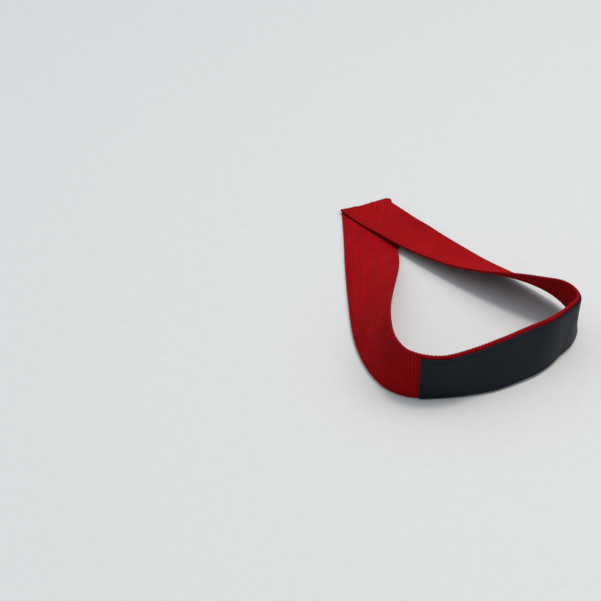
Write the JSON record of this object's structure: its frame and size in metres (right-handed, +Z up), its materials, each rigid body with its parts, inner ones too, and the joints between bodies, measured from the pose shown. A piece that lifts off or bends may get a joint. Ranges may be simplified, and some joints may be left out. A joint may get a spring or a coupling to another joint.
{
  "type": "weightlifting strap",
  "caption": "Closed wrist strap of flat cotton webbing, ends lapped and sewn to a slanting point, with a bare cloth patch round the bend; it lies with its bend on edge.",
  "frame": {"origin": "under the middle of the whole strap's box, on the surface that it lies on", "axes": "+Z up from the surface; +X to the right and +Y to the back as the picture shows it, so the patch faces -Y and the sewn point lies at the back left; the strap's greatest extent is along Y"},
  "size_m": [0.1516, 0.2502, 0.0392],
  "materials": {
    "red_webbing": "matte woven cotton webbing",
    "dark_cloth": "smooth fine-woven cloth, slightly satin"
  },
  "bodies": {
    "root": {"webbing_loop": "red_webbing", "label_patch": "dark_cloth"}
  },
  "joints": []
}
